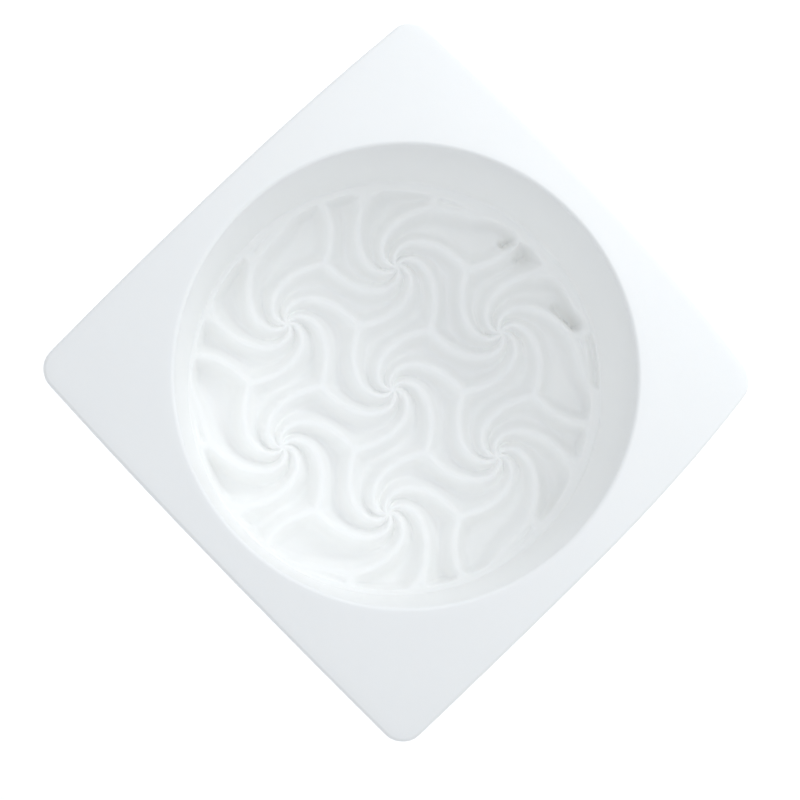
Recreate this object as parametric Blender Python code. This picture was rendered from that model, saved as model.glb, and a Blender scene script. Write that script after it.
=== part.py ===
"""Square silicone mould that casts one round bar or disc with a swirl relief on its face.

The mould is a single casting: a block with rounded corners and one open cavity. Its sides bulge
a little, so each corner is drawn in. The cavity's wall opens slightly towards the mouth, and its
floor carries a field of six-armed swirls, whose raised crests leave grooves in a casting.

Units are metres and +Z is up. The origin is the centre of the flat underside.
"""
import math

import bmesh
import bpy
import numpy as np
from mathutils.kdtree import KDTree

# Block
SIDE = 0.080
HEIGHT = 0.036
CORNER_RADIUS = 0.0036
CORNER_SEGMENTS = 6
SIDE_SEGMENTS = 14           # even, so that a point marks the widest place of each side
EDGE_RADIUS = 0.0005
EDGE_SEGMENTS = 2

# How far the bulge of the sides draws each corner in, as a share of its distance from the axis
CORNER_PULL = {(1, 1): 0.034, (-1, 1): 0.020, (-1, -1): 0.011, (1, -1): 0.066}

# Cavity
MOUTH_RADIUS = 0.0347
FLOOR_RADIUS = 0.0335
CAVITY_DEPTH = 0.028         # from the top face to the crests of the relief
MOUTH_FILLET = 0.0007
FILLET_STEPS = 3
OVERSHOOT = 0.002            # how far the cutter stands above the top face

# Relief on the cavity's floor
SWIRL_SPACING = 0.020
PATTERN_TURN = math.radians(13.7)
PATTERN_OFFSET = (-0.00056, 0.00018)    # the relief isn't quite concentric with the wall
RELIEF_RADIUS = 0.0324       # beyond this the floor is a ledge, as high as the crests
VALLEY_END_WIDTH = 0.0006    # distance in which a valley rises to the ledge
RELIEF_DEPTH = 0.0041
CREST_RADIUS = 0.0006        # how gently a crest is rounded over
FLANK_WIDTH = 0.0010         # distance in which a crest's flank loses most of the relief's depth
FLANK_ROUNDING = 1.8
TAPER_RADIUS = 0.0055        # nearer to a swirl's centre than this, crests and valleys get narrower
NARROWEST = 0.42             # their width at the centre, as a share of the width outside
VALLEY_SOFTNESS = 4.0        # the lower this is, the rounder the bottoms of the valleys
THIN_CELL = 0.0018           # cells narrower than this between a crest and the ledge stay shallow

# Pits at the ends of three valleys, and a notch along the foot of the wall. Each is a groove
# between two points, given as (distance from the axis, azimuth in degrees), and has its own depth.
PITS = (
    ((0.0298, 8.8), (0.0306, 8.2), 0.0060),
    ((0.0298, 2.4), (0.0307, 1.6), 0.0060),
    ((0.0297, -17.5), (0.0312, -24.5), 0.0060),
    ((0.0328, -30.0), (0.0328, -42.0), 0.0018),
)
PIT_RADIUS = 0.0008
PIT_STEEPNESS = 2
PIT_STEPS = 40

# Spiral arms: the angle that a crest turns through between its junction and its swirl's centre
# is ARM_TURN * t + ARM_CURL * t ** ARM_CURL_POWER, where t runs from 0 to 1 along the radius
ARMS = 6
ALONG_WALL = ARMS            # the family of long crests that run beside the wall
ARM_TURN = math.radians(57.8)
ARM_CURL = math.radians(73.7)
ARM_CURL_POWER = 2.16

# Points of the hexagonal swirl field, in swirl spacings from the middle of the cavity
JUNCTION_RADIUS = 1 / math.sqrt(3)      # from a swirl's centre to the junctions of its arms
INNER_FIELD = 1.1                       # reaches the middle swirl and the six round it
OUTER_SWIRLS = math.sqrt(3)             # six more swirls, whose centres lie under the wall
OUTER_JUNCTIONS = math.sqrt(7 / 3)      # the junctions nearest to the wall
OUTER_JUNCTION_ANGLE = math.atan(math.sqrt(3) / 5)
UNDER_WALL = 1.72

# Mesh density of the cutter
SPOKES = 396
RING_PITCH = 0.0005
CREST_POINTS = 200
KEPT_FACES = 0.20

SILICONE = (0.88, 0.90, 0.89, 1.0)


def clear_scene():
    for item in list(bpy.data.objects):
        bpy.data.objects.remove(item, do_unlink=True)


def new_collection(name):
    collection = bpy.data.collections.new(name)
    bpy.context.scene.collection.children.link(collection)
    return collection


def mesh_object(name, bm, collection):
    """Put the bmesh into a new, smoothly shaded object."""
    mesh = bpy.data.meshes.new(name)
    bm.to_mesh(mesh)
    bm.free()
    mesh.shade_smooth()
    mesh.set_sharp_from_angle(angle=math.radians(35))
    item = bpy.data.objects.new(name, mesh)
    collection.objects.link(item)
    return item


def silicone():
    """Milky white silicone rubber with a satin surface."""
    material = bpy.data.materials.new("silicone")
    material.use_nodes = True
    shader = material.node_tree.nodes["Principled BSDF"]
    shader.inputs["Base Color"].default_value = SILICONE
    shader.inputs["Roughness"].default_value = 0.5
    shader.inputs["Metallic"].default_value = 0.0
    material.diffuse_color = SILICONE
    return material


# The relief's crests are 2D curves in swirl spacings, with the cavity's axis at the origin.

def polar(radius, angle):
    """Points at these radii and angles, one per row."""
    return np.column_stack((radius * np.cos(angle), radius * np.sin(angle)))


def arm(centre, number):
    """One spiral crest, from the junction of three arms to its swirl's centre."""
    t = np.linspace(0, 1, CREST_POINTS)
    angle = math.tau * number / ARMS + ARM_TURN * t + ARM_CURL * t ** ARM_CURL_POWER
    return centre + polar(JUNCTION_RADIUS * (1 - t), angle)


def edge_crest(sector, start, pull, end):
    """A crest beside the wall: a parabola drawn through (radius, angle) in place of (x, y)."""
    t = np.linspace(0, 1, CREST_POINTS)[:, None]
    points = (1 - t) ** 2 * np.array(start) + 2 * t * (1 - t) * np.array(pull) + t ** 2 * np.array(end)
    return polar(points[:, 0], points[:, 1] + math.tau * sector / ARMS)


def inner_swirls():
    """Centres of the swirls that lie wholly on the floor."""
    one = np.array((math.cos(math.tau / 12), math.sin(math.tau / 12)))
    two = np.array((0.0, 1.0))
    field = [i * one + j * two for i in range(-2, 3) for j in range(-2, 3)]
    return [centre for centre in field if np.hypot(*centre) < INNER_FIELD]


def crest_families():
    """All crests, grouped so that the crests round any one valley are in different families."""
    sectors = range(ARMS)
    families = [[arm(centre, number) for centre in inner_swirls()] for number in range(ARMS)]
    for sector in sectors:
        facing_inwards = (sector + ARMS // 2) % ARMS
        under_wall = polar(np.array([OUTER_SWIRLS]), np.array([math.tau * sector / ARMS]))
        families[facing_inwards].append(arm(under_wall, facing_inwards))

    after = (OUTER_JUNCTIONS, OUTER_JUNCTION_ANGLE)
    before = (OUTER_JUNCTIONS, -OUTER_JUNCTION_ANGLE)
    along_wall = ((1.545, math.radians(3.0)), (UNDER_WALL, math.radians(-0.5)))
    towards_wall = ((1.60, math.radians(-21.5)), (UNDER_WALL, math.radians(-27.5)))
    families.append([edge_crest(sector, after, *along_wall) for sector in sectors])
    families.append([edge_crest(sector, before, *towards_wall) for sector in sectors])
    for radius, angle in (after, before):
        straight_out = ((UNDER_WALL, angle), (UNDER_WALL, angle))
        families.append([edge_crest(sector, (radius, angle), *straight_out) for sector in sectors])
    return families


def on_floor(points):
    """Pattern points, in swirl spacings, turned and moved to their places on the cavity's floor."""
    cos, sin = math.cos(PATTERN_TURN), math.sin(PATTERN_TURN)
    return points @ np.array(((cos, sin), (-sin, cos))) * SWIRL_SPACING + PATTERN_OFFSET


def crest_finders():
    """One nearest-point search tree for each family of crests."""
    trees = []
    for family in crest_families():
        points = on_floor(np.vstack(family))
        tree = KDTree(len(points))
        for index, (x, y) in enumerate(points):
            tree.insert((x, y, 0.0), index)
        tree.balance()
        trees.append(tree)
    return trees


def crest_taper(x, y):
    """Width of the crests and valleys at this floor point, as a share of their full width."""
    outer = polar(np.full(ARMS, OUTER_SWIRLS), math.tau * np.arange(ARMS) / ARMS)
    centres = on_floor(np.vstack((inner_swirls(), outer)))
    away = np.hypot(centres[:, 0] - x, centres[:, 1] - y).min()
    return NARROWEST + (1 - NARROWEST) * min(away / TAPER_RADIUS, 1)


def sink_pits(fall, x, y):
    """The fall of the floor at one point, with the pits sunk into it."""
    for start, end, depth in PITS:
        radii = np.linspace(start[0], end[0], PIT_STEPS)
        azimuths = np.radians(np.linspace(start[1], end[1], PIT_STEPS))
        middles = polar(radii, azimuths)
        away = np.hypot(middles[:, 0] - x, middles[:, 1] - y).min()
        in_pit = math.exp(-(away / PIT_RADIUS) ** PIT_STEEPNESS)
        fall += max(depth - fall, 0) * in_pit
    return fall


def relief_fall(x, y, trees):
    """How far the floor lies below the crests at one point."""
    distances = np.array([max(tree.find((x, y, 0.0))[2], 1e-7) for tree in trees])
    from_middle = math.hypot(x - PATTERN_OFFSET[0], y - PATTERN_OFFSET[1])
    to_ledge = max(RELIEF_RADIUS - from_middle, 0)
    cell_width = distances[ALONG_WALL] + to_ledge
    distance = (distances ** -VALLEY_SOFTNESS).sum() ** (-1 / VALLEY_SOFTNESS) / crest_taper(x, y)
    flank = (math.hypot(distance, CREST_RADIUS) - CREST_RADIUS) / FLANK_WIDTH
    depth = RELIEF_DEPTH * (1 - math.exp(-(cell_width / THIN_CELL) ** 2))
    fall = depth * (1 - math.exp(-flank ** FLANK_ROUNDING))
    fall = fall * (1 - math.exp(-(to_ledge / VALLEY_END_WIDTH) ** 2))
    return sink_pits(fall, x, y)


def cavity_profile():
    """Half outline of the plain cavity as (radius, height), from the floor's centre upwards."""
    floor = HEIGHT - CAVITY_DEPTH
    rings = round(FLOOR_RADIUS / RING_PITCH)
    profile = [(FLOOR_RADIUS * ring / rings, floor) for ring in range(rings + 1)]
    for step in range(FILLET_STEPS + 1):
        angle = math.radians(90) * step / FILLET_STEPS
        radius = MOUTH_RADIUS + MOUTH_FILLET * (1 - math.cos(angle))
        profile.append((radius, HEIGHT - MOUTH_FILLET * (1 - math.sin(angle))))
    profile.append((MOUTH_RADIUS + MOUTH_FILLET, HEIGHT + OVERSHOOT))
    profile.append((0.0, HEIGHT + OVERSHOOT))
    return profile


def make_casting(collection):
    """The shape of the finished casting, which is cut out of the block."""
    bm = bmesh.new()
    points = [bm.verts.new((radius, 0.0, height)) for radius, height in cavity_profile()]
    edges = [bm.edges.new(pair) for pair in zip(points, points[1:])]
    bmesh.ops.spin(bm, geom=points + edges, axis=(0, 0, 1), cent=(0, 0, 0), angle=math.tau,
                   steps=SPOKES, use_merge=True)
    bmesh.ops.remove_doubles(bm, verts=bm.verts, dist=1e-6)
    bmesh.ops.recalc_face_normals(bm, faces=bm.faces)

    trees = crest_finders()
    floor = HEIGHT - CAVITY_DEPTH
    for vert in bm.verts:
        if abs(vert.co.z - floor) < 1e-6:
            vert.co.z -= relief_fall(vert.co.x, vert.co.y, trees)

    casting = mesh_object("casting", bm, collection)
    thin_out = casting.modifiers.new("Thin out", "DECIMATE")
    thin_out.ratio = KEPT_FACES
    casting.hide_render = True
    casting.display_type = "WIRE"
    return casting


def outline_point(x, y):
    """A point of the rounded square, moved in as far as the bulge of the sides draws it."""
    pull = CORNER_PULL[(1 if x >= 0 else -1, 1 if y >= 0 else -1)]
    near_corner = abs(x * y) / (SIDE / 2) ** 2
    kept = 1 - pull * near_corner ** 2
    return x * kept, y * kept


def outline():
    """The block's outline seen from above, anticlockwise from the side that faces +X."""
    half = SIDE / 2
    straight = half - CORNER_RADIUS
    quarter = []
    for step in range(SIDE_SEGMENTS // 2):
        quarter.append((half, 2 * straight * step / SIDE_SEGMENTS))
    for step in range(CORNER_SEGMENTS + 1):
        angle = math.radians(90) * step / CORNER_SEGMENTS
        quarter.append((straight + CORNER_RADIUS * math.cos(angle),
                        straight + CORNER_RADIUS * math.sin(angle)))
    for step in range(SIDE_SEGMENTS // 2 - 1, 0, -1):
        quarter.append((2 * straight * step / SIDE_SEGMENTS, half))
    points = []
    for _ in range(4):
        points.extend(outline_point(x, y) for x, y in quarter)
        quarter = [(-y, x) for x, y in quarter]
    return points


def make_mould_body(collection, casting):
    """The block, with rounded corners and edges, and the cavity cut into its top."""
    bm = bmesh.new()
    underside = bm.faces.new([bm.verts.new((x, y, 0.0)) for x, y in outline()])
    block = bmesh.ops.extrude_face_region(bm, geom=[underside])["geom"]
    raised = [item for item in block if isinstance(item, bmesh.types.BMVert)]
    bmesh.ops.translate(bm, vec=(0, 0, HEIGHT), verts=raised)
    bmesh.ops.recalc_face_normals(bm, faces=bm.faces)
    rims = [edge for edge in bm.edges if edge.verts[0].co.z == edge.verts[1].co.z]
    bmesh.ops.bevel(bm, geom=rims, offset=EDGE_RADIUS, segments=EDGE_SEGMENTS,
                    profile=0.5, affect="EDGES")

    body = mesh_object("mould_body", bm, collection)
    cut = body.modifiers.new("Cavity", "BOOLEAN")
    cut.operation = "DIFFERENCE"
    cut.solver = "EXACT"
    cut.object = casting
    body.data.materials.append(silicone())
    return body


def main():
    clear_scene()
    parts = new_collection("resin_casting_mould")
    cutters = new_collection("cutters")
    casting = make_casting(cutters)
    make_mould_body(parts, casting)


main()
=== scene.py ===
"""Looks of the square silicone mould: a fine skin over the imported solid, its material and the studio."""
import math

import bpy
import numpy as np
from mathutils import Matrix, Vector
from mathutils.kdtree import KDTree


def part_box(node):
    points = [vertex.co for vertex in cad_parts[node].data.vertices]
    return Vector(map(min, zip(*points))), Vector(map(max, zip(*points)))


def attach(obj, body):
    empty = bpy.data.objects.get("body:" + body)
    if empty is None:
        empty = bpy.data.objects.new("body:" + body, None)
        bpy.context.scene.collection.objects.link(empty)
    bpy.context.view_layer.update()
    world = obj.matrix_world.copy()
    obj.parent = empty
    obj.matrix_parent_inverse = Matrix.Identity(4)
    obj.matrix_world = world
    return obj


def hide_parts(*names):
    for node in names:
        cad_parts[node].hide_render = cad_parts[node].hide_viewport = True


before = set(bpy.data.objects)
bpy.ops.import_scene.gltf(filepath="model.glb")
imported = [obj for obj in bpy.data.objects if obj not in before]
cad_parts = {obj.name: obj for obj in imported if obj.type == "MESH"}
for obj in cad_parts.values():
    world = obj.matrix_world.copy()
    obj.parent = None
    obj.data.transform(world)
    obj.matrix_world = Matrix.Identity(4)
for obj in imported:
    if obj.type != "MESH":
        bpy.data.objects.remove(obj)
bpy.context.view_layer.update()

# Everything is in metres, unless its comment says otherwise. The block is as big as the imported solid.
LOW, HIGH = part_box("mould_body")
SIDE = HIGH.x - LOW.x
HEIGHT = HIGH.z
CORNER_RADIUS = 0.0036
EDGE_RADIUS = 0.0006         # the skin's edges are a little rounder than the solid's

# How far each corner is drawn in by the bulge of the sides, as a share of its distance from the axis
CORNER_PULL = {(1, 1): 0.034, (-1, 1): 0.020, (-1, -1): 0.011, (1, -1): 0.066}

# Cavity
MOUTH_RADIUS = 0.0347
FLOOR_RADIUS = 0.0335
CAVITY_DEPTH = 0.028         # from the top face to the crests of the relief
MOUTH_FILLET = 0.0007        # radius of the mouth's rounded edge
FOOT_FILLET = 0.0004         # radius of the rounding where the floor turns up into the wall

# Relief on the cavity's floor
SWIRL_SPACING = 0.020
PATTERN_TURN = math.radians(13.7)
PATTERN_OFFSET = (-0.00056, 0.00018)    # the relief isn't quite concentric with the wall
RELIEF_RADIUS = 0.0324       # beyond this the floor is a ledge, as high as the crests
VALLEY_END_WIDTH = 0.0006    # distance in which a valley rises to the ledge
RELIEF_DEPTH = 0.0041
CREST_RADIUS = 0.0006        # how gently a crest is rounded over
FLANK_WIDTH = 0.0010         # distance in which a crest's flank loses most of the relief's depth
FLANK_ROUNDING = 1.8         # the higher this is, the flatter the crests and the steeper the flanks
TAPER_RADIUS = 0.0055        # nearer to a swirl's centre than this, crests and valleys get narrower
NARROWEST = 0.42             # their width at the centre, as a share of the width outside
VALLEY_SOFTNESS = 4.0        # the lower this is, the rounder the bottoms of the valleys
THIN_CELL = 0.0018           # cells narrower than this between a crest and the ledge stay shallow

# Pits at the ends of three valleys, and a notch along the foot of the wall. Each is a groove
# between two points, given as (distance from the axis, azimuth in degrees), and has its own depth.
PITS = (
    ((0.0298, 8.8), (0.0306, 8.2), 0.0060),
    ((0.0298, 2.4), (0.0307, 1.6), 0.0060),
    ((0.0297, -17.5), (0.0312, -24.5), 0.0060),
    ((0.0328, -30.0), (0.0328, -42.0), 0.0018),
)
PIT_RADIUS = 0.0008          # distance from its middle line at which a pit is about a third as deep
PIT_STEEPNESS = 2            # the higher this is, the steeper the sides of the pits
PIT_STEPS = 40               # points along a pit's middle line
LEAST_DISTANCE = 1e-7        # stands for 0, which can't be raised to a negative power

# Spiral arms: the angle that a crest turns through between its junction and its swirl's centre
# is ARM_TURN * t + ARM_CURL * t ** ARM_CURL_POWER, where t runs from 0 to 1 along the radius
ARMS = 6
ALONG_WALL = ARMS            # the family of long crests that run beside the wall
ARM_TURN = math.radians(57.8)
ARM_CURL = math.radians(73.7)
ARM_CURL_POWER = 2.16

# Points of the hexagonal swirl field, in swirl spacings from the middle of the cavity
JUNCTION_RADIUS = 1 / math.sqrt(3)      # from a swirl's centre to the junctions of its arms
INNER_FIELD = 1.1                       # reaches the middle swirl and the six round it
OUTER_SWIRLS = math.sqrt(3)             # six more swirls, whose centres lie under the wall
OUTER_JUNCTIONS = math.sqrt(7 / 3)      # the junctions nearest to the wall
OUTER_JUNCTION_ANGLE = math.atan(math.sqrt(3) / 5)
UNDER_WALL = 1.72                       # crests beside the wall end here, outside the floor

# Mesh density
SPOKES = 1080                # points in each ring
FLOOR_RINGS = 210
RING_CROWDING = 1.4          # above 1 the rings get closer towards the ledge
FOOT_RINGS = 6
WALL_RINGS = 29
MOUTH_RINGS = 8
TOP_RINGS = 8
EDGE_RINGS = 6
SIDE_RINGS = 24
UNDERSIDE_RINGS = 10
CORNER_POINTS = 40           # points round each corner of the outline
SIDE_POINTS = 58             # points between two corners
CREST_POINTS = 400
SHARP_ANGLE = math.radians(50)          # edges bent more than this are shaded as sharp


# ---- the relief, as in the CAD model -----------------------------------------------------

def polar(radius, angle):
    """Points at these radii and angles, one per row."""
    return np.column_stack((radius * np.cos(angle), radius * np.sin(angle)))


def arm(centre, number):
    """One spiral crest, from the junction of three arms to its swirl's centre."""
    t = np.linspace(0, 1, CREST_POINTS)
    angle = math.tau * number / ARMS + ARM_TURN * t + ARM_CURL * t ** ARM_CURL_POWER
    return centre + polar(JUNCTION_RADIUS * (1 - t), angle)


def edge_crest(sector, start, pull, end):
    """A crest beside the wall: a parabola drawn through (radius, angle) in place of (x, y)."""
    t = np.linspace(0, 1, CREST_POINTS)[:, None]
    points = (1 - t) ** 2 * np.array(start) + 2 * t * (1 - t) * np.array(pull) + t ** 2 * np.array(end)
    return polar(points[:, 0], points[:, 1] + math.tau * sector / ARMS)


def inner_swirls():
    """Centres of the swirls that lie wholly on the floor."""
    one = np.array((math.cos(math.tau / 12), math.sin(math.tau / 12)))
    two = np.array((0.0, 1.0))
    field = [i * one + j * two for i in range(-2, 3) for j in range(-2, 3)]
    return [centre for centre in field if np.hypot(*centre) < INNER_FIELD]


def crest_families():
    """All crests, grouped so that the crests round any one valley are in different families."""
    sectors = range(ARMS)
    families = [[arm(centre, number) for centre in inner_swirls()] for number in range(ARMS)]
    for sector in sectors:
        facing_inwards = (sector + ARMS // 2) % ARMS
        under_wall = polar(np.array([OUTER_SWIRLS]), np.array([math.tau * sector / ARMS]))
        families[facing_inwards].append(arm(under_wall, facing_inwards))

    after = (OUTER_JUNCTIONS, OUTER_JUNCTION_ANGLE)
    before = (OUTER_JUNCTIONS, -OUTER_JUNCTION_ANGLE)
    along_wall = ((1.545, math.radians(3.0)), (UNDER_WALL, math.radians(-0.5)))
    towards_wall = ((1.60, math.radians(-21.5)), (UNDER_WALL, math.radians(-27.5)))
    families.append([edge_crest(sector, after, *along_wall) for sector in sectors])
    families.append([edge_crest(sector, before, *towards_wall) for sector in sectors])
    for radius, angle in (after, before):
        straight_out = ((UNDER_WALL, angle), (UNDER_WALL, angle))
        families.append([edge_crest(sector, (radius, angle), *straight_out) for sector in sectors])
    return families


def on_floor(points):
    """Pattern points, in swirl spacings, turned and moved to their places on the cavity's floor."""
    cos, sin = math.cos(PATTERN_TURN), math.sin(PATTERN_TURN)
    return points @ np.array(((cos, sin), (-sin, cos))) * SWIRL_SPACING + PATTERN_OFFSET


def crest_distances(points):
    """Distance of each floor point to the nearest crest of every family, one column each."""
    columns = []
    for family in crest_families():
        crests = on_floor(np.vstack(family))
        tree = KDTree(len(crests))
        for index, (x, y) in enumerate(crests):
            tree.insert((x, y, 0.0), index)
        tree.balance()
        columns.append([tree.find((x, y, 0.0))[2] for x, y in points])
    return np.array(columns).T


def crest_taper(points):
    """Width of the crests and valleys at these floor points, as a share of their full width."""
    outer = polar(np.full(ARMS, OUTER_SWIRLS), math.tau * np.arange(ARMS) / ARMS)
    centres = on_floor(np.vstack((inner_swirls(), outer)))
    away = np.min([np.hypot(*(points - centre).T) for centre in centres], axis=0)
    return NARROWEST + (1 - NARROWEST) * (away / TAPER_RADIUS).clip(max=1)


def sink_pits(fall, points):
    """The fall of the floor at these points, with the pits sunk into it."""
    for start, end, depth in PITS:
        radii = np.linspace(start[0], end[0], PIT_STEPS)
        azimuths = np.radians(np.linspace(start[1], end[1], PIT_STEPS))
        away = np.min([np.hypot(*(points - middle).T) for middle in polar(radii, azimuths)], axis=0)
        in_pit = np.exp(-(away / PIT_RADIUS) ** PIT_STEEPNESS)
        fall = fall + (depth - fall).clip(0) * in_pit
    return fall


def relief_fall(points):
    """How far the floor lies below the crests."""
    distances = crest_distances(points).clip(LEAST_DISTANCE)
    to_ledge = (RELIEF_RADIUS - np.hypot(*(points - PATTERN_OFFSET).T)).clip(0)
    cell_width = distances[:, ALONG_WALL] + to_ledge
    distance = (distances ** -VALLEY_SOFTNESS).sum(1) ** (-1 / VALLEY_SOFTNESS)
    distance = distance / crest_taper(points)
    flank = (np.hypot(distance, CREST_RADIUS) - CREST_RADIUS) / FLANK_WIDTH
    depth = RELIEF_DEPTH * (1 - np.exp(-(cell_width / THIN_CELL) ** 2))
    fall = depth * (1 - np.exp(-flank ** FLANK_ROUNDING))
    fall = fall * (1 - np.exp(-(to_ledge / VALLEY_END_WIDTH) ** 2))
    return sink_pits(fall, points)


# ---- the skin: rings of SPOKES points, from the floor's middle outwards and round underneath ----

SPOKE_ANGLES = np.linspace(0, math.tau, SPOKES, endpoint=False)


def steps(end, count):
    """This many even steps up to the end, without the 0 that they start from."""
    return np.linspace(0, end, count + 1)[1:]


def ring(distance, height):
    """One ring of the skin. Its distance from the axis is one number, or one for each spoke."""
    return np.column_stack((polar(distance, SPOKE_ANGLES), np.full(SPOKES, height)))


def rounded_square(half, radius):
    """Points anticlockwise round a square, given half its side and the radius of its corners."""
    quarter_turn = np.array(((0, 1), (-1, 0)))
    along_side = np.linspace(0, 1, SIDE_POINTS + 2)[1:-1, None]
    points = []
    for corner in range(4):
        start = math.tau * corner / 4
        middle = np.array((math.cos(start + math.tau / 8), math.sin(start + math.tau / 8)))
        middle = middle * math.sqrt(2) * (half - radius)
        arc = middle + polar(radius, start + np.linspace(0, math.tau / 4, CORNER_POINTS))
        next_corner = arc[0] @ quarter_turn
        points.append(arc)
        points.append(arc[-1] + (next_corner - arc[-1]) * along_side)
    return np.vstack(points)


def outline(inset):
    """The block's rounded square, drawn in at its corners, as a distance from the axis per spoke."""
    half = SIDE / 2 - inset
    points = rounded_square(half, CORNER_RADIUS - inset)
    near_corner = np.abs(points[:, 0] * points[:, 1]) / (SIDE / 2) ** 2
    pull = np.array([CORNER_PULL[(1 if x >= 0 else -1, 1 if y >= 0 else -1)] for x, y in points])
    points = points * (1 - pull * near_corner ** 2)[:, None]
    angles = np.arctan2(points[:, 1], points[:, 0]) % math.tau
    order = np.argsort(angles)
    distances = np.interp(SPOKE_ANGLES, angles[order], np.hypot(*points[order].T), period=math.tau)
    square = half / np.maximum(np.abs(np.cos(SPOKE_ANGLES)), np.abs(np.sin(SPOKE_ANGLES)))
    return np.minimum(distances, square)


def floor_rings():
    """The cavity's floor, from its middle to the foot of the wall, with the relief sunk into it."""
    rings = []
    for left in np.linspace(1, 0, FLOOR_RINGS + 1)[1:]:
        radius = (FLOOR_RADIUS - FOOT_FILLET) * (1 - left ** RING_CROWDING)
        rings.append(ring(radius, HEIGHT - CAVITY_DEPTH))
    points = np.vstack(rings)
    points[:, 2] -= relief_fall(points[:, :2])
    return list(points.reshape(FLOOR_RINGS, SPOKES, 3))


def wall_rings():
    """The cavity's drafted wall, with its rounded foot and the rounded edge of its mouth."""
    bottom = HEIGHT - CAVITY_DEPTH + FOOT_FILLET
    top = HEIGHT - MOUTH_FILLET
    rings = []
    for angle in steps(math.tau / 4, FOOT_RINGS):
        rings.append(ring(FLOOR_RADIUS - FOOT_FILLET * (1 - math.sin(angle)),
                          bottom - FOOT_FILLET * math.cos(angle)))
    for share in steps(1, WALL_RINGS):
        rings.append(ring(FLOOR_RADIUS + (MOUTH_RADIUS - FLOOR_RADIUS) * share,
                          bottom + (top - bottom) * share))
    for angle in steps(math.tau / 4, MOUTH_RINGS):
        rings.append(ring(MOUTH_RADIUS + MOUTH_FILLET * (1 - math.cos(angle)),
                          top + MOUTH_FILLET * math.sin(angle)))
    return rings


def block_rings():
    """The top face, the outside and the underside."""
    rings = []
    mouth = MOUTH_RADIUS + MOUTH_FILLET
    inner = outline(EDGE_RADIUS)
    for share in steps(1, TOP_RINGS):
        rings.append(ring(mouth + (inner - mouth) * share, HEIGHT))
    for angle in steps(math.tau / 4, EDGE_RINGS):
        inset = EDGE_RADIUS * (1 - math.sin(angle))
        rings.append(ring(outline(inset), HEIGHT - EDGE_RADIUS * (1 - math.cos(angle))))
    for share in steps(1, SIDE_RINGS):
        height = HEIGHT - EDGE_RADIUS - (HEIGHT - 2 * EDGE_RADIUS) * share
        rings.append(ring(outline(0.0), height))
    for angle in steps(math.tau / 4, EDGE_RINGS):
        inset = EDGE_RADIUS * (1 - math.cos(angle))
        rings.append(ring(outline(inset), EDGE_RADIUS * (1 - math.sin(angle))))
    for share in np.linspace(1, 0, UNDERSIDE_RINGS + 2)[1:-1]:
        rings.append(ring(inner * share, 0.0))
    return rings


def skin_faces(ring_count):
    """Faces between the rings, with a fan of triangles at the floor's and the underside's middle."""
    spoke = np.arange(SPOKES)
    following = (spoke + 1) % SPOKES
    last_ring = 1 + (ring_count - 1) * SPOKES
    floor_middle = np.zeros_like(spoke)
    faces = np.column_stack((floor_middle, 1 + spoke, 1 + following)).tolist()
    for ring_start in range(1, last_ring, SPOKES):
        next_start = ring_start + SPOKES
        faces += np.column_stack((ring_start + spoke, next_start + spoke,
                                  next_start + following, ring_start + following)).tolist()
    underside_middle = np.full_like(spoke, last_ring + SPOKES)
    faces += np.column_stack((last_ring + following, last_ring + spoke, underside_middle)).tolist()
    return faces


def store_depth(mesh, heights):
    """Keep the floor's depth below the crests on the mesh, for the material's painted shade in the
    valleys. It is 0 elsewhere.
    """
    below_crests = (HEIGHT - CAVITY_DEPTH - heights) / RELIEF_DEPTH
    below_crests[1 + FLOOR_RINGS * SPOKES:] = 0
    depth = mesh.attributes.new("relief_depth", "FLOAT", "POINT")
    depth.data.foreach_set("value", below_crests.astype(np.float32))


def make_skin():
    """One closed surface over the whole mould."""
    rings = floor_rings() + wall_rings() + block_rings()
    middle_fall = relief_fall(np.zeros((1, 2)))[0]
    floor_middle = np.array([[0, 0, HEIGHT - CAVITY_DEPTH - middle_fall]])
    underside_middle = np.zeros((1, 3))
    vertices = np.vstack([floor_middle] + rings + [underside_middle])
    mesh = bpy.data.meshes.new("mould_skin")
    mesh.from_pydata(vertices.tolist(), [], skin_faces(len(rings)))
    mesh.shade_smooth()
    mesh.set_sharp_from_angle(angle=SHARP_ANGLE)
    store_depth(mesh, vertices[:, 2])
    skin = bpy.data.objects.new("mould_skin", mesh)
    bpy.context.scene.collection.objects.link(skin)
    return skin


# ---- materials ---------------------------------------------------------------------------

# Colours are linear red, green and blue. A fourth number is opacity.
DULL_TONE = (0.985, 0.985, 0.978, 1)
BRIGHT_TONE = (0.993, 0.993, 0.986, 1)
DULL_SHARE = 0.35            # noise below this has the dull tone
BRIGHT_SHARE = 0.65          # noise above this has the bright tone
WHITE = (1, 1, 1, 1)
PAINTED_SHADE = (0.97, 0.97, 0.97, 1)            # painted shade that darkens the bottoms of the valleys
PAINTED_SHADE_DEPTH = 0.9             # share of the relief's depth at which the painted shade is at its strongest
SMOOTHEST = 0.42
ROUGHEST = 0.56
GRAIN_STRENGTH = 0.12
GRAIN_HEIGHT = 0.0001
RUBBER_IOR = 1.41
LIGHT_SOAKING = 0.2          # share of the light that scatters under the surface
SOAKING_DEPTH = 0.0004
SOAKING_COLOUR = (1.0, 0.95, 0.9)       # red light goes deepest
SWEEP_COLOUR = (0.95, 0.95, 0.95, 1)
SWEEP_ROUGHNESS = 0.8
SWEEP_GLOW = 0.38            # keeps the floor as white as in the photograph


def node(tree, kind, inputs=None, **settings):
    """Add a shader node, set its properties and its unlinked inputs."""
    made = tree.nodes.new(kind)
    for name, value in settings.items():
        setattr(made, name, value)
    for name, value in (inputs or {}).items():
        made.inputs[name].default_value = value
    return made


def noise(tree, place, inputs):
    """Add a noise texture that is fixed to the piece."""
    made = node(tree, "ShaderNodeTexNoise", inputs)
    tree.links.new(place, made.inputs["Vector"])
    return made.outputs["Fac"]


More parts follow.
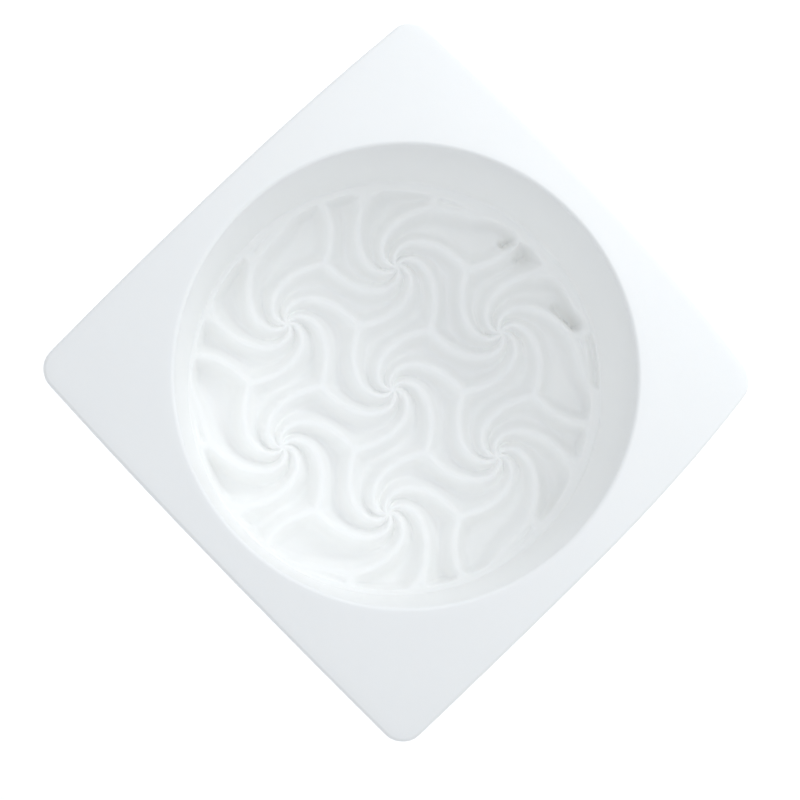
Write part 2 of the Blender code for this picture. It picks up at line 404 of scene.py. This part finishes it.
def ramp(tree, value, *stops):
    """Add a colour ramp between two stops, each given as its position and its colour."""
    made = node(tree, "ShaderNodeValToRGB")
    for element, (position, colour) in zip(made.color_ramp.elements, stops):
        element.position = position
        element.color = colour
    tree.links.new(value, made.inputs["Fac"])
    return made.outputs["Color"]


def rubber_colour(tree, place):
    """Two mottled tones of white, with painted shade darkening the bottoms of the valleys."""
    mottle = noise(tree, place, {"Scale": 90.0, "Detail": 4.0, "Roughness": 0.55})
    tone = ramp(tree, mottle, (DULL_SHARE, DULL_TONE), (BRIGHT_SHARE, BRIGHT_TONE))
    depth = node(tree, "ShaderNodeAttribute", attribute_name="relief_depth")
    # painted shade: the deeper a point lies below the crests, the darker its colour
    painted_shade = ramp(tree, depth.outputs["Fac"], (0.0, WHITE), (PAINTED_SHADE_DEPTH, PAINTED_SHADE))
    colour = node(tree, "ShaderNodeMix", data_type="RGBA", blend_type="MULTIPLY")
    colour.inputs["Factor"].default_value = 1.0
    tree.links.new(tone, colour.inputs["A"])
    tree.links.new(painted_shade, colour.inputs["B"])
    return colour.outputs["Result"]


def rubber_roughness(tree, place):
    """A satin sheen that is a little uneven."""
    sheen = noise(tree, place, {"Scale": 260.0, "Detail": 3.0})
    gloss = node(tree, "ShaderNodeMapRange", {"To Min": SMOOTHEST, "To Max": ROUGHEST})
    tree.links.new(sheen, gloss.inputs["Value"])
    return gloss.outputs["Result"]


def rubber_grain(tree, place):
    """The fine grain of a cast surface."""
    grain = noise(tree, place, {"Scale": 2600.0, "Detail": 3.0})
    bump = node(tree, "ShaderNodeBump", {"Strength": GRAIN_STRENGTH, "Distance": GRAIN_HEIGHT})
    tree.links.new(grain, bump.inputs["Height"])
    return bump.outputs["Normal"]


def silicone():
    """Milky white silicone rubber: satin, faintly mottled, with light soaking into it."""
    material = bpy.data.materials.new("white_silicone")
    material.use_nodes = True
    tree = material.node_tree
    shader = tree.nodes["Principled BSDF"]
    place = node(tree, "ShaderNodeTexCoord").outputs["Object"]
    tree.links.new(rubber_colour(tree, place), shader.inputs["Base Color"])
    tree.links.new(rubber_roughness(tree, place), shader.inputs["Roughness"])
    tree.links.new(rubber_grain(tree, place), shader.inputs["Normal"])
    shader.inputs["IOR"].default_value = RUBBER_IOR
    shader.inputs["Subsurface Weight"].default_value = LIGHT_SOAKING
    shader.inputs["Subsurface Radius"].default_value = SOAKING_COLOUR
    shader.inputs["Subsurface Scale"].default_value = SOAKING_DEPTH
    return material


def floor_material():
    """A plain white floor that glows a little."""
    material = bpy.data.materials.new("white_sweep")
    material.use_nodes = True
    shader = material.node_tree.nodes["Principled BSDF"]
    shader.inputs["Base Color"].default_value = SWEEP_COLOUR
    shader.inputs["Roughness"].default_value = SWEEP_ROUGHNESS
    shader.inputs["Emission Color"].default_value = WHITE
    shader.inputs["Emission Strength"].default_value = SWEEP_GLOW
    return material


# ---- studio ------------------------------------------------------------------------------

AIM = Vector((-0.00346, -0.00196, HEIGHT))      # the point in the middle of the picture
CAMERA_AZIMUTH = math.radians(-178.6)
CAMERA_ELEVATION = math.radians(84.74)
CAMERA_DISTANCE = 0.3515
CAMERA_ROLL = math.radians(0.75)
LENS = 105.9                 # in millimetres, like the sensor
SENSOR_WIDTH = 36.0
NEAREST_SEEN = 0.01
SWEEP_SIZE = 6
DAYLIGHT = (0.965, 0.995, 1.01)         # the lights are slightly cool
SKY_COLOUR = (0.945, 0.987, 1.036, 1)
SKY_STRENGTH = 0.53

# Each light's name, azimuth and elevation in degrees, distance, size, and power in watts
LIGHTS = (
    ("key", 8, 30, 0.20, 0.10, 0.120),
    ("side_key", -30, 30, 0.20, 0.10, 0.045),
    ("high_key", -15, 65, 0.40, 0.30, 0.09),
    ("overhead", 0, 90, 0.50, 0.40, 0.33),
    ("fill", 170, 65, 0.40, 0.30, 0.06),
)

# Most of the light in the cavity comes from its own white walls, after many bounces
DIFFUSE_BOUNCES = 16
MAX_BOUNCES = 20


def direction(azimuth, elevation):
    """The unit vector that points this way, from angles in radians."""
    return Vector((math.cos(azimuth) * math.cos(elevation), math.sin(azimuth) * math.cos(elevation),
                   math.sin(elevation)))


def make_camera():
    """Nearly overhead, with the corner between +X and +Y at the top of the picture."""
    data = bpy.data.cameras.new("camera")
    data.lens = LENS
    data.sensor_width = SENSOR_WIDTH
    data.clip_start = NEAREST_SEEN
    back = direction(CAMERA_AZIMUTH, CAMERA_ELEVATION)
    upwards = Vector((1, 1, 0))
    upwards = (upwards - back * upwards.dot(back)).normalized()
    across = upwards.cross(back)
    upwards = upwards * math.cos(CAMERA_ROLL) - across * math.sin(CAMERA_ROLL)
    across = upwards.cross(back)
    camera = bpy.data.objects.new("camera", data)
    camera.matrix_world = Matrix.Translation(AIM + back * CAMERA_DISTANCE) @ Matrix(
        (across, upwards, back)).transposed().to_4x4()
    bpy.context.scene.collection.objects.link(camera)
    bpy.context.scene.camera = camera


def make_light(name, azimuth, elevation, distance, size, power):
    """A square lamp that faces the middle of the block's top."""
    data = bpy.data.lights.new(name, "AREA")
    data.shape = "SQUARE"
    data.size = size
    data.energy = power
    data.color = DAYLIGHT
    light = bpy.data.objects.new(name, data)
    back = direction(math.radians(azimuth), math.radians(elevation))
    light.location = back * distance + Vector((0, 0, HEIGHT))
    light.rotation_mode = "QUATERNION"
    light.rotation_quaternion = back.to_track_quat("Z", "Y")
    bpy.context.scene.collection.objects.link(light)


def make_floor():
    """The plain white floor that the mould stands on."""
    bpy.ops.mesh.primitive_plane_add(size=SWEEP_SIZE)
    sweep = bpy.context.object
    sweep.name = "studio_floor"
    sweep.data.materials.append(floor_material())


def make_studio():
    """The floor, the sky and the lights, and how far light is followed."""
    make_floor()
    world = bpy.data.worlds.new("studio")
    world.use_nodes = True
    background = world.node_tree.nodes["Background"]
    background.inputs["Color"].default_value = SKY_COLOUR
    background.inputs["Strength"].default_value = SKY_STRENGTH
    bpy.context.scene.world = world
    for light in LIGHTS:
        make_light(*light)
    bpy.context.scene.view_settings.view_transform = "Standard"
    bpy.context.scene.cycles.diffuse_bounces = DIFFUSE_BOUNCES
    bpy.context.scene.cycles.max_bounces = MAX_BOUNCES


skin = make_skin()
skin.data.materials.append(silicone())
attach(skin, "root")
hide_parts("mould_body")
make_camera()
make_studio()
